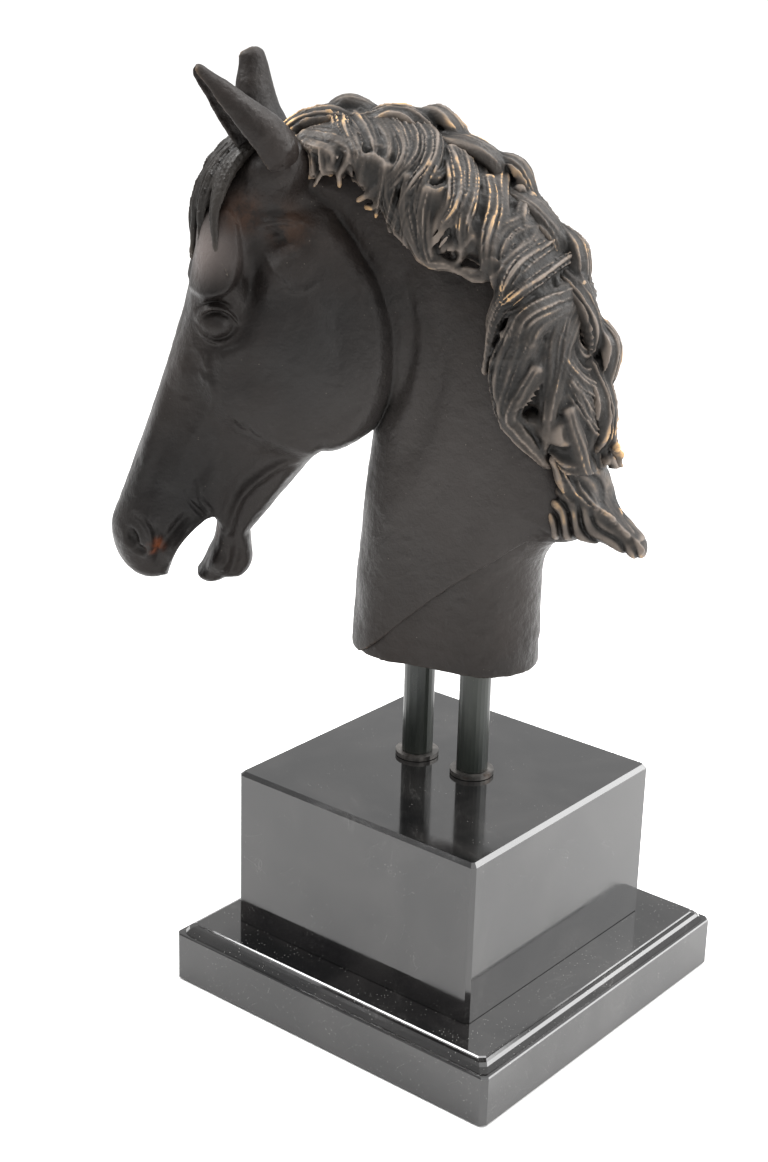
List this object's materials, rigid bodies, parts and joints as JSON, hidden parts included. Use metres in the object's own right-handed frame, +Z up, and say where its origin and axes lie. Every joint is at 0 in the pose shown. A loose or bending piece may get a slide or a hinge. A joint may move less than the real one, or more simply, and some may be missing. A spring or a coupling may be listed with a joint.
{
  "type": "horse head statue",
  "caption": "Bronze horse head and neck with flowing mane, held by two steel tubes above a stepped black marble plinth.",
  "frame": {"origin": "centre of the plinth slab's underside, at the underside of the felt", "axes": "+Z up, the horse faces -X and looks round towards -Y, the slab's sides lie along X and Y"},
  "size_m": [0.3316, 0.2742, 0.6234],
  "materials": {
    "marble": "polished black marble with fine pale veins",
    "felt": "dark green felt",
    "zinc": "zinc plated",
    "tube_paint": "satin black paint",
    "bare_steel": "mill finish",
    "bronze_smooth": "satin dark brown patina",
    "bronze_hair": "matt grey brown patina with worn edges"
  },
  "bodies": {
    "root": {"base_felt": "felt", "plinth_slab": "marble", "plinth_block": "marble", "stud_front": "zinc", "stud_rear": "zinc", "tube_front": "tube_paint", "tube_rear": "tube_paint", "collar_washer_front": "tube_paint", "collar_washer_rear": "tube_paint", "lower_washer_front": "zinc", "lower_washer_rear": "zinc", "lower_nut_front": "zinc", "lower_nut_rear": "zinc", "upper_nut_front": "zinc", "upper_nut_rear": "zinc", "armature_plate": "bare_steel", "neck_socle": "bronze_smooth", "head_casting": "bronze_smooth", "ear_left": "bronze_smooth", "ear_right": "bronze_smooth", "forelock": "bronze_hair", "mane_crest": "bronze_hair", "mane_fall": "bronze_hair", "withers_lock": "bronze_hair"}
  },
  "joints": []
}
